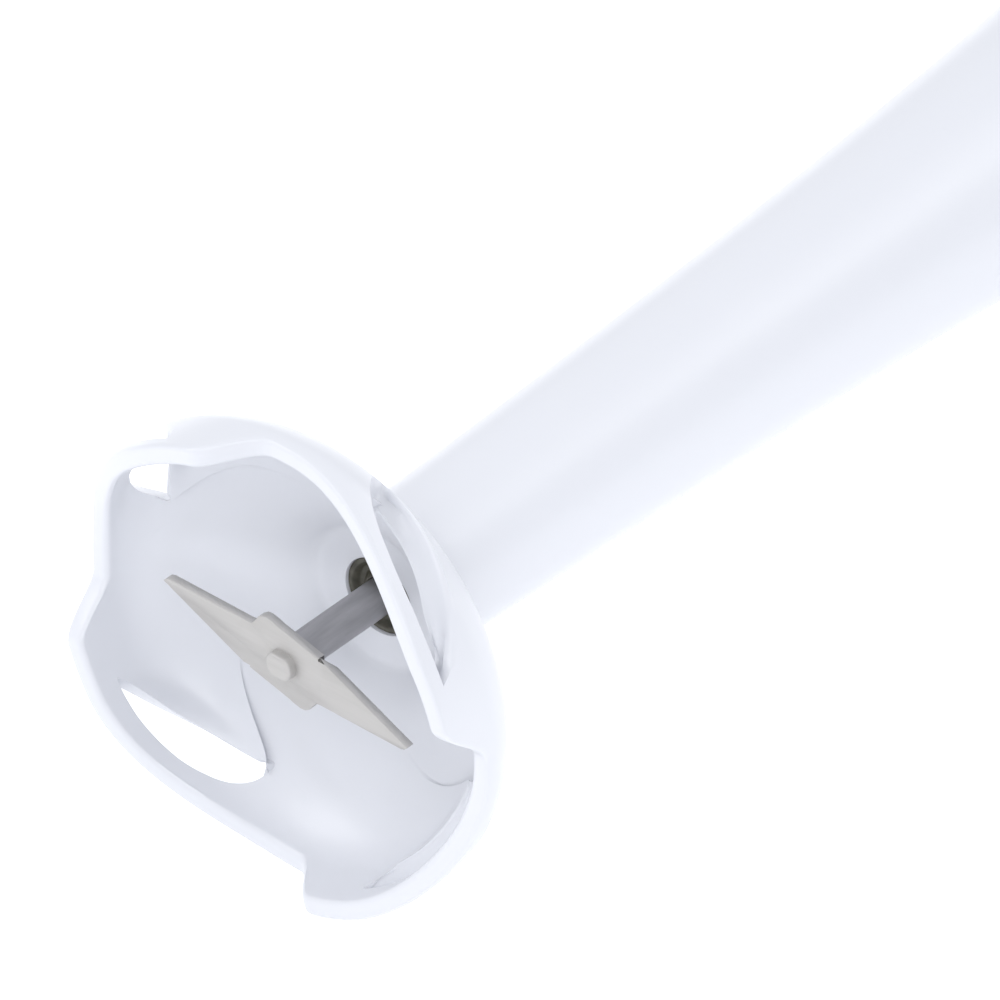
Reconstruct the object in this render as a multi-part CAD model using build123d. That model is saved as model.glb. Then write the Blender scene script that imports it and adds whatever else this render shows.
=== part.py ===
from build123d import *
from math import cos, radians, sin
import os

os.makedirs("parts", exist_ok=True)

# An immersion blender lying on its side, buttons up. Millimetres.
# Local Y runs along the drive axis, from the blade towards the handle.
# "Station" means distance behind the blade; "front" means ahead of it.

# ---- overall ----
overall_length = 400.0
axis_height = 32.6  # drive axis above the table

# ---- bell guard ----
bell_radius = 32.6
bell_wall = 2.7
bell_back = 19.5  # station where the bell meets the tube
tooth_low = 0.4  # rim valley, ahead of the blade
tooth_high = 6.8  # rim crest, ahead of the blade
tooth_pitch = 90.0
steep_start = 2.5  # angles within one tooth
steep_end = 16.5
crest_end = 29.0
gentle_end = 86.0
ceiling = 16.8  # station of the flat inside the bell
seal_radius = 5.4
seal_front = 17.2
seal_length = 3.8
neck_radius = 7.6
neck_end = 44.0

# ---- wand ----
wand_wall = 2.2
wand_shoulder = 203.0  # station of the joint with the motor body
spigot_radius = 17.5
spigot_bore = 14.6
spigot_end = 222.0
running_gap = 0.3
key_width = 4.0

# ---- shaft and blade ----
shaft_radius = 2.4
bush_radius = 4.6
bush_gap = 0.03
shaft_top = 212.0
blade_thickness = 1.2
rivet_radius = 2.05
rivet_flat = 1.7
rivet_proud = 1.3

# ---- motor body ----
body_wall = 2.4
body_front = wand_shoulder + 0.3
body_back = 384.0
body_end = overall_length - tooth_high
motor_shaft_radius = 2.0
can_radius = 18.0
can_wall = 1.2
can_front = 240.0
can_back = 288.0
socket_radius = spigot_radius + running_gap
cap_radius = 17.9
gland_radius = 6.0
inlet_radius = 3.4


def place(shape):
    """Move a shape from the drive axis to where it lies on the table."""
    return Pos(0, tooth_high - overall_length / 2, axis_height) * shape


def save(shape, name):
    export_step(place(shape), "parts/" + name + ".step")


def turned(points):
    """A solid of revolution from straight (station, radius) corners."""
    outline = Polyline(*[(radius, station) for station, radius in points], close=True)
    return revolve(make_face(outline), Axis.Y, 360)


def turned_curve(points, closing):
    """A solid of revolution with one smooth run and straight closing corners."""
    run = [(radius, station) for station, radius in points]
    corners = [run[-1]] + [(radius, station) for station, radius in closing] + [run[0]]
    outline = [Spline(*run), Polyline(*corners)]
    return revolve(make_face(outline), Axis.Y, 360)


def ring(outer, inner, start, end):
    return turned([(start, inner), (end, inner), (end, outer), (start, outer)])


def rod(radius, start, end):
    return turned([(start, 0), (end, 0), (end, radius), (start, radius)])


def around(shape, angle):
    """Turn a shape about the drive axis; positive goes from +X to +Z."""
    return Rot(0, -angle, 0) * shape


def across(face, start, length):
    """Stand a flat outline on the drive axis: its X stays, its Y becomes Z."""
    return Pos(0, start, 0) * (Rot(90, 0, 0) * extrude(face, -length))


def on_circle(radius, angle, station):
    turn = radians(angle)
    return Vector(radius * cos(turn), station, radius * sin(turn))


def smooth(value):
    value = min(1.0, max(0.0, value))
    return value * value * (3 - 2 * value)


# ---- bell guard ----

def rim_height(angle):
    """Height of the rim ahead of the blade: a steep side, a crest, a gentle side."""
    step = angle % tooth_pitch
    if step < crest_end:
        share = smooth((step - steep_start) / (steep_end - steep_start))
    else:
        share = smooth((gentle_end - step) / (gentle_end - crest_end))
    return tooth_low + (tooth_high - tooth_low) * share


def bell_solid(inset):
    """The bell's outer form, drawn in by an inset."""
    curve = [
        (1.0, bell_radius - inset),
        (3.6, bell_radius - 0.9 - inset),
        (6.6, bell_radius - 3.0 - inset),
        (9.6, bell_radius - 6.6 - inset),
        (12.8 - inset * 0.5, bell_radius - 11.8 - inset),
        (16.0 - inset * 0.8, bell_radius - 17.2 - inset),
        (bell_back - inset, 10.4),
    ]
    run = [(radius, station) for station, radius in curve]
    ahead = -tooth_high - 4
    corners = [run[-1], (0, run[-1][1]), (0, ahead), (run[0][0], ahead), run[0]]
    outline = [Spline(*run, tangents=[(0, 1), (-1, 0.75)]), Polyline(*corners)]
    return revolve(make_face(outline), Axis.Y, 360)


def rim_cutter():
    """Everything ahead of the wavy rim, made as one tooth and repeated."""
    angles = [0, 3, 6, 9, 12, 15, 18, 23, 28, 35, 44, 53, 62, 71, 79, 85, 90]
    inner = bell_radius - 9
    outer = bell_radius + 4
    ahead = -tooth_high - 8
    sections = []
    for angle in angles:
        rim = -rim_height(angle)
        corners = [
            on_circle(inner, angle, rim),
            on_circle(outer, angle, rim),
            on_circle(outer, angle, ahead),
            on_circle(inner, angle, ahead),
        ]
        sections.append(Wire.make_polygon(corners, close=True))
    tooth = Solid.make_loft(sections, ruled=False)
    return [around(tooth, tooth_pitch * count) for count in range(4)]


def slot_cutter(front, back):
    """A lens-shaped radial cutter from two runs of (angle, height ahead) points."""
    middle = 49.5
    across_slot = on_circle(1, middle + 90, 0)
    outward = on_circle(1, middle, 0)
    runs = []
    for points in (front, back):
        run = []
        for angle, height in points:
            sideways = (bell_radius - 2) * sin(radians(angle - middle))
            run.append(across_slot * sideways - Vector(0, height, 0))
        runs.append(Spline(*run))
    lens = make_face(runs)
    return extrude(Pos(*(outward * 17)) * lens, 24, dir=outward)


bell = bell_solid(0) - bell_solid(bell_wall)
bell = bell + ring(neck_radius, bush_radius, ceiling + 0.5, neck_end)
bell = bell - rod(bush_radius, ceiling - 1, neck_end + 1)
bell = bell - rod(seal_radius, ceiling - 1, seal_front + seal_length)
bell = bell - rim_cutter()

slot_front = [(28, 3.8), (40, 3.3), (52, 1.9), (60, 0.2), (67, -2.3), (71.5, -5.8)]
slot_back = [(71.5, -5.8), (61.5, -5.1), (49, -3.1), (40, -0.7), (33, 1.6), (28, 3.8)]
groove_front = [(25.5, 4.4), (40, 4.1), (52, 2.7), (60, 1.0), (66.5, -1.3), (71, -4.2), (73.5, -8.0)]
groove_back = [(73.5, -8.0), (60.5, -6.4), (50.5, -4.4), (40.5, -1.8), (31, 1.6), (25.5, 4.4)]
slot = slot_cutter(slot_front, slot_back)
groove = slot_cutter(groove_front, groove_back) - bell_solid(1.4)
openings = []
for count in range(4):
    openings.append(around(slot, tooth_pitch * count))
    openings.append(around(groove, tooth_pitch * count))
save(bell - openings, "bell_guard")

# ---- wand tube ----

wand_curve = [
    (bell_back, 10.3),
    (29.5, 10.5),
    (60.0, 11.6),
    (90.0, 12.9),
    (117.0, 14.4),
    (137.0, 15.8),
    (155.0, 17.2),
    (172.0, 18.9),
    (188.0, 21.0),
    (wand_shoulder, 23.4),
]
wand_outer = turned_curve(wand_curve, [(wand_shoulder, 0), (bell_back, 0)])
bore_curve = [(station, radius - wand_wall) for station, radius in wand_curve if 50 < station < 180]
bore_start = bore_curve[0]
bore_end = bore_curve[-1]
wand_bore = turned_curve(bore_curve, [(bore_end[0], 0), (bore_start[0], 0)])
wand_tube = wand_outer + rod(spigot_radius, wand_shoulder - 1, spigot_end)
wand_tube = wand_tube - wand_bore
wand_tube = wand_tube - rod(neck_radius, bell_back - 1, bore_start[0] + 1)
wand_tube = wand_tube - rod(spigot_bore, bore_end[0] - 1, spigot_end + 1)
catch_groove = ring(spigot_radius + 1, spigot_radius - 0.8, 212.6, 214.6)
wand_tube = wand_tube - catch_groove
key = Pos(0, 218, spigot_radius) * Box(key_width, 14, 2.4)
wand_tube = wand_tube - key
save(wand_tube, "wand_tube")

# ---- seal, bushes and carrier ----

seal = ring(seal_radius, shaft_radius + 0.05, seal_front, seal_front + seal_length)
seal_dish = turned([
    (seal_front - 1, 0),
    (seal_front - 1, seal_radius - 0.9),
    (seal_front, seal_radius - 0.9),
    (seal_front + 1.1, shaft_radius + 0.7),
    (seal_front + 1.1, 0),
])
save(seal - seal_dish, "shaft_seal")

lower_bush = ring(bush_radius, shaft_radius + bush_gap, 22.0, 38.0)
lower_bush = chamfer(lower_bush.edges().filter_by(GeomType.CIRCLE), 0.3)
save(lower_bush, "lower_bush")

carrier_front = 186.0
carrier_back = 202.0
carrier = ring(spigot_bore, bush_radius, carrier_front, carrier_front + 2.5)
carrier = carrier + ring(spigot_bore, spigot_bore - 2.0, carrier_front, carrier_back)
carrier = carrier + ring(bush_radius + 2.2, bush_radius, carrier_front, carrier_back)
for count in range(6):
    rib = Pos((bush_radius + spigot_bore) / 2, (carrier_front + carrier_back) / 2, 0)
    web = rib * Box(spigot_bore - bush_radius - 3.0, carrier_back - carrier_front, 1.4)
    carrier = carrier + around(web, 60 * count)
save(carrier, "shaft_carrier")

upper_bush = ring(bush_radius, shaft_radius + bush_gap, carrier_front, carrier_back)
upper_bush = chamfer(upper_bush.edges().filter_by(GeomType.CIRCLE), 0.3)
save(upper_bush, "upper_bush")

# ---- drive shaft, clip, blade and drive dog ----

clip_station = carrier_front - 1.2
clip_groove = 1.9
shaft = rod(shaft_radius, blade_thickness / 2, shaft_top)
shaft = shaft - ring(shaft_radius + 1, clip_groove, clip_station - 0.4, clip_station + 0.4)
rivet_profile = Circle(rivet_radius) & Rectangle(2 * rivet_radius, 2 * rivet_flat)
rivet_length = blade_thickness + rivet_proud
rivet = across(rivet_profile, -blade_thickness / 2 - rivet_proud, rivet_length)
head_edges = rivet.edges().group_by(Axis.Y)[0]
rivet = chamfer(head_edges, 0.3)
save(shaft + rivet, "drive_shaft")

clip = ring(4.4, clip_groove, clip_station - 0.35, clip_station + 0.35)
clip = clip - Pos(3.4, clip_station, 0) * Box(5.2, 2, 2.9)
save(clip, "retaining_clip")

blade_half = [
    (6.6, 3.25),
    (-1.0, 5.25),
    (-3.2, 5.7),
    (-4.3, 4.9),
    (-5.4, 3.5),
    (-19.0, 3.65),
    (-20.0, 2.8),
]
blade_outline = blade_half + [(-aside, -up) for aside, up in blade_half]
blade = across(make_face(Polyline(*blade_outline, close=True)), -blade_thickness / 2, blade_thickness)
blade = blade - across(rivet_profile, -blade_thickness, 2 * blade_thickness)
front_bevel = (0.42, 0.32)  # depth and width of the ground face in front
back_bevel = 0.85  # width of the ground face behind
bevel_profile = Polyline(
    (0, -0.01, 0.3),
    (0, -0.01, -front_bevel[1]),
    (0, front_bevel[0], 0),
    (0, blade_thickness + 0.01, -back_bevel),
    (0, blade_thickness + 0.01, 0.3),
    close=True,
)
bevel = extrude(make_face(bevel_profile), 13.4, dir=(1, 0, 0))
bevel = Pos(-19.0, -blade_thickness / 2, 3.5) * bevel
blade = blade - bevel - around(bevel, 180)
save(blade, "blade")

dog_front = 206.0
dog_back = 217.0
dog = rod(6.4, dog_front, dog_back - 5.0)
for count in range(3):
    jaw = ring(6.2, 3.8, dog_back - 5.0, dog_back)
    side = Pos(0, dog_back - 2.5, 5.6) * Box(3.6, 5.0, 9.0)
    dog = dog + around(jaw & side, 120 * count)
dog = dog - rod(shaft_radius, dog_front - 1, shaft_top)
save(dog, "drive_dog")

# ---- motor body shells ----

body_sections = [
    (body_front, 23.4, 23.4),
    (222.0, 25.4, 26.6),
    (250.0, 27.8, 31.6),
    (285.0, 28.6, 33.4),
    (325.0, 28.4, 33.3),
    (360.0, 26.8, 31.0),
    (body_back, 24.6, 27.6),
]


def body_solid(inset):
    """The motor body's form, drawn in by an inset, flat underneath."""
    faces = []
    for station, half_width, half_height in body_sections:
        profile = Ellipse(half_width - inset, half_height - inset)
        faces.append(Pos(0, station, 0) * (Rot(90, 0, 0) * profile))
    below = Pos(0, 290, -(axis_height - inset) - 50) * Box(200, 300, 100)
    return loft(faces) - below


def upright(outline, across_axis, station, low, high):
    """Stand a flat outline up from one height to another."""
    return Pos(across_axis, station, low) * extrude(outline, high - low)


def stadium(length, width):
    return SlotOverall(length, width, rotation=90)


body_outer = body_solid(0)
body_inner = body_solid(body_wall)
front_wall = Pos(0, body_front - 8, 0) * Box(100, 20, 100)
back_wall = Pos(0, body_back + 8, 0) * Box(100, 20, 100)
shell = body_outer - (body_inner - [front_wall, back_wall])

button_gap = 0.35
button_width = 15.0
button_sizes = {"power": (308.0, 26.0), "turbo": (335.0, 16.0)}
release_station = 217.0
release_width = 9.0
release_length = 12.0
screw_spots = [(-21.0, 236.0), (21.0, 236.0), (-21.0, 364.0), (21.0, 364.0)]
screw_radius = 1.4
head_radius = 2.6
head_height = 2.4
head_seat = -4.6  # height of the screw heads' seats, from the split

pillars = []
cuts = [
    rod(socket_radius + 3.0, body_front - 1, body_front + 10),
    rod(cap_radius + 0.1, body_back - 5, body_back + 1),
]
for across_axis, station in screw_spots:
    pillars.append(Pos(across_axis, station, 0) * Cylinder(4.2, 28) & body_inner)
    cuts.append(Pos(across_axis, station, 1) * Cylinder(screw_radius, 22))
    recess = Cylinder(head_radius + 0.3, 38)
    cuts.append(Pos(across_axis, station, head_seat - 19) * recess)
for station, length in button_sizes.values():
    hole = stadium(length + 2 * button_gap, button_width + 2 * button_gap)
    cuts.append(upright(hole, 0, station, 10, 50))
release_hole = Plane.YZ * SlotOverall(release_length + 2 * button_gap, release_width + 2 * button_gap)
for side in (-1, 1):
    cuts.append(Pos(side * 21, release_station, 0) * extrude(release_hole, side * 20))
shell = (shell + pillars) - cuts

upper_half = Pos(0, 290, 50) * Box(200, 300, 100)
lower_half = Pos(0, 290, -50) * Box(200, 300, 100)
board_bottom = 9.0
board_top = 10.6
posts = []
for across_axis in (-12.0, 12.0):
    for station in (304.0, 350.0):
        post = Pos(across_axis, station, (board_bottom - axis_height) / 2)
        posts.append(post * Cylinder(2.2, board_bottom + axis_height) & body_solid(1.0))
save(shell & upper_half, "shell_top")
save((shell & lower_half) + posts, "shell_bottom")

screws = []
for across_axis, station in screw_spots:
    screw = Pos(0, 0, 7.5) * Cylinder(screw_radius, 15)
    screw = screw + Pos(0, 0, -head_height / 2) * Cylinder(head_radius, head_height)
    cross = Box(3.2, 0.8, 1.6) + Box(0.8, 3.2, 1.6)
    screw = screw - Pos(0, 0, -head_height) * cross
    screws.append(Pos(across_axis, station, head_seat) * screw)
save(Compound(children=screws), "shell_screws")

# ---- wand socket and its wire catch ----

socket_end = 225.0
socket = ring(socket_radius + 2.0, socket_radius, body_front, socket_end)
socket = socket + ring(socket_radius + 2.0, 9.0, socket_end, socket_end + 2.4)
socket = socket + ring(socket_radius + 3.0, socket_radius, body_front, body_front + 2.0)
socket = socket - ring(socket_radius + 1.3, socket_radius - 1, 212.5, 214.7)
key_bar = Pos(0, 219.8, socket_radius - 0.3) * Box(key_width - 0.8, 8.4, 1.2)
save(socket + key_bar, "wand_socket")

catch_path = CenterArc((0, 0, 0), socket_radius + 0.7, 35, 290)
catch_wire = sweep(Plane(catch_path @ 0, z_dir=catch_path % 0) * Circle(0.55), path=catch_path)
save(Pos(0, 213.6, 0) * (Rot(90, 0, 0) * catch_wire), "wire_catch")

# ---- end cap and cord inlet ----

cap_sections = [
    (body_back, 24.6, 27.6),
    (387.0, 24.0, 26.9),
    (390.2, 21.8, 24.3),
    (392.2, 18.4, 20.4),
    (body_end, 13.0, 14.4),
]
cap_faces = []
for station, half_width, half_height in cap_sections:
    cap_faces.append(Pos(0, station, 0) * (Rot(90, 0, 0) * Ellipse(half_width, half_height)))
cap = loft(cap_faces) + rod(cap_radius, body_back - 6, body_back + 1)
cap = cap - rod(cap_radius - 2.0, body_back - 7, body_end - 2.6)
cap = cap - rod(gland_radius, body_back - 7, body_end + 1)
save(cap, "end_cap")

gland = ring(gland_radius, inlet_radius, body_end - 8.0, body_end)
gland = gland + ring(gland_radius + 1.8, inlet_radius, body_end - 10.5, body_end - 2.6)
gland = chamfer(gland.edges().group_by(Axis.Y)[-1], 0.4)
save(gland, "cord_inlet")

# ---- motor ----

can_body = ring(can_radius, can_radius - can_wall, can_front, can_back)
can_body = can_body + ring(can_radius, 5.5, can_front, can_front + 1.4)
can_body = can_body + ring(7.2, 5.5, can_front - 3.0, can_front)
can_body = can_body + ring(7.2, motor_shaft_radius + 0.6, can_front - 3.8, can_front - 3.0)
for count in range(4):
    vent = Pos(12, can_front, 0) * Box(7, 6, 4)
    can_body = can_body - around(vent, 45 + 90 * count)
save(can_body, "motor_can")

magnet_ring = ring(can_radius - can_wall, 13.4, can_front + 6, can_back - 12)
magnets = magnet_ring - (Pos(0, 265, 0) * Box(80, 60, 12))
save(magnets, "magnets")

brush_plate = ring(can_radius - can_wall, 5.5, can_back - 4, can_back)
brush_plate = brush_plate + ring(can_radius, 5.5, can_back, can_back + 1.6)
brush_plate = brush_plate + ring(7.4, 5.5, can_back + 1.6, can_back + 4.6)
brush_plate = brush_plate + ring(7.4, motor_shaft_radius + 0.6, can_back + 4.6, can_back + 5.4)
for side in (-1, 1):
    guide = Pos(side * 10.2, can_back - 7.5, 0) * Box(8.0, 7.0, 7.6)
    tunnel = Pos(side * 10.2, can_back - 7.5, 0) * Box(12.0, 4.4, 5.0)
    brush_plate = brush_plate + (guide - tunnel)
save(brush_plate, "brush_plate")

brushes = []
for side in (-1, 1):
    brush = Pos(side * 9.4, can_back - 7.5, 0) * Box(7.6, 4.2, 4.8)
    brushes.append(brush)
save(Compound(children=brushes), "brushes")

for name, start in (("front_bearing", can_front - 3.0), ("rear_bearing", can_back + 0.6)):
    bearing = ring(5.5, motor_shaft_radius + bush_gap, start, start + 4.0)
    groove_front = ring(4.6, 3.0, start - 1, start + 0.4)
    groove_rear = ring(4.6, 3.0, start + 3.6, start + 5)
    save(bearing - groove_front - groove_rear, name)

motor_rings = []
for start in (can_front + 4.0, can_back - 8.0):
    slab = Pos(0, start + 2.5, 0) * Box(100, 5.0, 100)
    holes = [rod(can_radius, start - 1, start + 6)]
    for angle in (50, 90, 130, 230, 270, 310):
        window = Pos(can_radius + 5.4, start + 2.5, 0) * Box(4.4, 10, 9.0)
        holes.append(around(window, angle))
    motor_rings.append((body_inner & slab) - holes)
save(Compound(children=motor_rings), "motor_rings")

# ---- rotor ----

rotor_front = 218.0
motor_shaft = rod(motor_shaft_radius, rotor_front, can_back + 8.0)
motor_shaft = chamfer(motor_shaft.edges().filter_by(GeomType.CIRCLE), 0.3)
save(motor_shaft, "motor_shaft")

core = ring(12.8, motor_shaft_radius, can_front + 9, can_back - 16)
for count in range(10):
    slot_mouth = Pos(11.6, (can_front + can_back) / 2 - 3.5, 0) * Box(3.0, 40, 1.4)
    slot_room = Pos(9.2, (can_front + can_back) / 2 - 3.5, 0) * Box(3.6, 40, 3.2)
    core = core - around(slot_mouth + slot_room, 36 * count)
save(core, "armature_core")

front_turns = ring(10.8, 4.0, can_front + 5.0, can_front + 9)
rear_turns = ring(10.8, 4.0, can_back - 16, can_back - 12.5)
turns = Compound(children=[
    fillet(front_turns.edges().filter_by(GeomType.CIRCLE).group_by(SortBy.RADIUS)[-1], 1.4),
    fillet(rear_turns.edges().filter_by(GeomType.CIRCLE).group_by(SortBy.RADIUS)[-1], 1.4),
])
save(turns, "windings")

commutator = ring(5.3, motor_shaft_radius, can_back - 12.0, can_back - 3.0)
for count in range(10):
    gap = Pos(5.2, can_back - 7.5, 0) * Box(0.9, 12, 0.35)
    commutator = commutator - around(gap, 18 + 36 * count)
save(commutator, "commutator")

fan_front = 229.0
fan = ring(15.5, 5.6, fan_front, fan_front + 1.2)
fan = fan + ring(5.6, motor_shaft_radius, fan_front, fan_front + 6.0)
for count in range(9):
    vane = Pos(10.2, fan_front + 3.4, 0) * Box(9.8, 4.8, 1.0)
    fan = fan + around(vane, 40 * count)
fan = fan - rod(motor_shaft_radius, fan_front - 1, fan_front + 7)
save(fan, "fan")

hub_front = 212.4
hub_back = 228.0
drive_hub = rod(8.2, hub_front, hub_back)
drive_hub = drive_hub - rod(6.8, hub_front - 1, dog_back + 0.4)
for count in range(3):
    tooth = ring(6.9, 3.8, hub_front + 1.0, dog_back + 0.5)
    side = Pos(0, hub_front + 3.0, 5.6) * Box(3.0, 8.0, 9.0)
    drive_hub = drive_hub + around(tooth & side, 60 + 120 * count)
drive_hub = drive_hub - rod(motor_shaft_radius, rotor_front, hub_back + 1)
save(drive_hub, "drive_hub")

# ---- buttons and what they press ----

board = Pos(0, 327, (board_top + board_bottom) / 2) * Box(30, 56, board_top - board_bottom)
save(board, "circuit_board")

switches = []
for station, length in button_sizes.values():
    case = Pos(0, station, board_top + 1.9) * Box(6.2, 6.2, 3.8)
    plunger = Pos(0, station, board_top + 4.2) * Cylinder(1.7, 0.9)
    switches.append(case + plunger)
save(Compound(children=switches), "switches")
switch_top = board_top + 4.65

capacitor = Pos(-8, 350.4, board_top + 5.5) * Cylinder(4.0, 11.0)
save(chamfer(capacitor.edges().group_by(Axis.Z)[-1], 0.5), "capacitor")

bridge_low = 19.0
bridge_high = 20.6
stem_radius = 2.2
spring_radius = 4.2
spring_wire = 0.35
flange_low = 26.2
button_travel = 2.0
button_proud = 1.2

bridge = Pos(0, 319, (bridge_low + bridge_high) / 2) * Box(60, 53, bridge_high - bridge_low)
stem_holes = []
for station, length in button_sizes.values():
    stem_holes.append(Pos(0, station, bridge_low) * Cylinder(stem_radius + running_gap, 10))
save((bridge & body_inner) - stem_holes, "button_bridge")

body_proud = body_solid(-button_proud)
body_under = body_solid(body_wall + 0.15)
for name, (station, length) in button_sizes.items():
    head = upright(stadium(length, button_width), 0, station, flange_low, 50) & body_proud
    flange = upright(stadium(length + 3.4, button_width + 3.4), 0, station, flange_low, 50)
    skirt = upright(stadium(length - 3.2, button_width - 3.2), 0, station, 10, 30.6)
    stem_low = switch_top + button_travel + 0.3
    stem = upright(Circle(stem_radius), 0, station, stem_low, 31)
    button = head + (flange & body_under) - skirt + stem
    save(button, name + "_button")
    turns_high = 30.6 - bridge_high - 2 * spring_wire
    coil = Helix(pitch=turns_high / 5, height=turns_high, radius=spring_radius)
    start = Plane(coil @ 0, z_dir=coil % 0)
    spring = sweep(start * Circle(spring_wire), path=coil, is_frenet=True)
    save(Pos(0, station, bridge_high + spring_wire) * spring, name + "_spring")

body_raised = body_solid(-0.9)
for name, side in (("left", -1), ("right", 1)):
    head = Plane.YZ * SlotOverall(release_length, release_width)
    head = Pos(side * 21.2, release_station, 0) * extrude(head, side * 12)
    foot = Pos(side * 21.9, release_station, 0) * Box(1.4, release_length + 2.4, release_width + 2.0)
    release = (head & body_raised) + (foot & body_under)
    save(release, "release_" + name)
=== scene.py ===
import math
import bpy
import bmesh
from mathutils import Vector, Matrix


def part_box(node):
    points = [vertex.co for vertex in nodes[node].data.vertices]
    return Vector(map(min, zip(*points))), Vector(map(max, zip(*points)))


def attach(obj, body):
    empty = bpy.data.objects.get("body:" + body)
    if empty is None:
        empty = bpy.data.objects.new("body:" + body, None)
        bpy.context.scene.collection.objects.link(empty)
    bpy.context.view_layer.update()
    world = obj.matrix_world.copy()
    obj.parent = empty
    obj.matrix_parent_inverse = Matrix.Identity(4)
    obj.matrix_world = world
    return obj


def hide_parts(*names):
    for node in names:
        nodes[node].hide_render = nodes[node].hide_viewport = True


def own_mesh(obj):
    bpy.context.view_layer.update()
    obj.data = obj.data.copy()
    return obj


print("loading the frame")
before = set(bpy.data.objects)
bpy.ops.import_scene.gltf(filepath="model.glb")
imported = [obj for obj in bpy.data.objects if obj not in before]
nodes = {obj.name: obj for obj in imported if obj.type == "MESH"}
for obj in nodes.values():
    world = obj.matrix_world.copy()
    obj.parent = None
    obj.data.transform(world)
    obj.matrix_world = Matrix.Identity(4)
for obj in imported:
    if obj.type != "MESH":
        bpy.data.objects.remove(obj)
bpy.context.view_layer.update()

# the drive axis: its height, and where the blade sits along it
axisHeight = 0.0326
bladeY = -0.1932


def onAxis(station, radius, angle):
    # millimetres behind the blade, millimetres out, degrees from +X towards +Z
    turn = math.radians(angle)
    across = radius * math.cos(turn)
    up = radius * math.sin(turn)
    return Vector((across * 0.001, bladeY + station * 0.001, axisHeight + up * 0.001))


def smooth(value):
    value = min(1.0, max(0.0, value))
    return value * value * (3 - 2 * value)


def between(points, at):
    # a smooth curve through (position, value) points
    if at <= points[0][0]:
        return points[0][1]
    if at >= points[-1][0]:
        return points[-1][1]
    last = len(points) - 1
    for i in range(last):
        x0, y0 = points[i]
        x1, y1 = points[i + 1]
        if x0 <= at <= x1:
            before = points[max(i - 1, 0)]
            after = points[min(i + 2, last)]
            span = x1 - x0
            slope0 = (y1 - before[1]) / (x1 - before[0])
            slope1 = (after[1] - y0) / (after[0] - x0)
            t = (at - x0) / span
            a = (1 + 2 * t) * (1 - t) ** 2
            b = t * (1 - t) ** 2
            c = t * t * (3 - 2 * t)
            d = t * t * (t - 1)
            return a * y0 + b * span * slope0 + c * y1 + d * span * slope1


def newMaterial(name):
    mat = bpy.data.materials.new(name)
    mat.use_nodes = True
    tree = mat.node_tree
    shader = tree.nodes["Principled BSDF"]
    return mat, tree, shader


def addNoise(tree, scale, detail, roughness=0.5, stretch=None):
    coords = tree.nodes.new("ShaderNodeTexCoord")
    noise = tree.nodes.new("ShaderNodeTexNoise")
    noise.inputs["Scale"].default_value = scale
    noise.inputs["Detail"].default_value = detail
    noise.inputs["Roughness"].default_value = roughness
    if stretch:
        mapping = tree.nodes.new("ShaderNodeMapping")
        mapping.inputs["Scale"].default_value = stretch
        tree.links.new(coords.outputs["Object"], mapping.inputs["Vector"])
        tree.links.new(mapping.outputs["Vector"], noise.inputs["Vector"])
    else:
        tree.links.new(coords.outputs["Object"], noise.inputs["Vector"])
    return noise.outputs["Fac"]


def addRamp(tree, source, low, high, start=0.3, end=0.7):
    # low and high are both numbers or both colours
    if isinstance(low, (int, float)):
        span = tree.nodes.new("ShaderNodeMapRange")
        span.inputs["From Min"].default_value = start
        span.inputs["From Max"].default_value = end
        span.inputs["To Min"].default_value = low
        span.inputs["To Max"].default_value = high
        tree.links.new(source, span.inputs["Value"])
        return span.outputs["Result"]
    ramp = tree.nodes.new("ShaderNodeValToRGB")
    ramp.color_ramp.elements[0].position = start
    ramp.color_ramp.elements[0].color = (*low, 1)
    ramp.color_ramp.elements[1].position = end
    ramp.color_ramp.elements[1].color = (*high, 1)
    tree.links.new(source, ramp.inputs["Fac"])
    return ramp.outputs["Color"]


def addBump(tree, shader, source, strength, distance, under=None):
    bump = tree.nodes.new("ShaderNodeBump")
    bump.inputs["Strength"].default_value = strength
    bump.inputs["Distance"].default_value = distance
    tree.links.new(source, bump.inputs["Height"])
    if under:
        tree.links.new(under, bump.inputs["Normal"])
    tree.links.new(bump.outputs["Normal"], shader.inputs["Normal"])
    return bump.outputs["Normal"]


plastic = {
    "light": (0.612, 0.624, 0.664),
    "dark": (0.606, 0.618, 0.658),
    "roughLow": 0.30,
    "roughHigh": 0.34,
    "toneSize": 22.0,
    "smearSize": 260.0,
    "grainSize": 2600.0,
    "grainStrength": 0.5,
    "grainDepth": 0.000012,
    "rippleSize": 38.0,
    "rippleStrength": 0.2,
    "rippleDepth": 0.00003,
    "bend": 1.49,  # how strongly the clear surface bends light
}


def plasticMaterial(name, look):
    mat, tree, shader = newMaterial(name)
    tone = addNoise(tree, look["toneSize"], 3.0)
    tree.links.new(addRamp(tree, tone, look["dark"], look["light"]), shader.inputs["Base Color"])
    smear = addNoise(tree, look["smearSize"], 2.0, 0.5)
    tree.links.new(addRamp(tree, smear, look["roughLow"], look["roughHigh"]), shader.inputs["Roughness"])
    ripple = addNoise(tree, look["rippleSize"], 1.0)
    first = addBump(tree, shader, ripple, look["rippleStrength"], look["rippleDepth"])
    grain = addNoise(tree, look["grainSize"], 2.0)
    addBump(tree, shader, grain, look["grainStrength"], look["grainDepth"], first)
    shader.inputs["IOR"].default_value = look["bend"]
    return mat


steel = {
    "light": (0.60, 0.595, 0.575),
    "dark": (0.47, 0.465, 0.45),
    "roughLow": 0.30,
    "roughHigh": 0.46,
}
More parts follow.
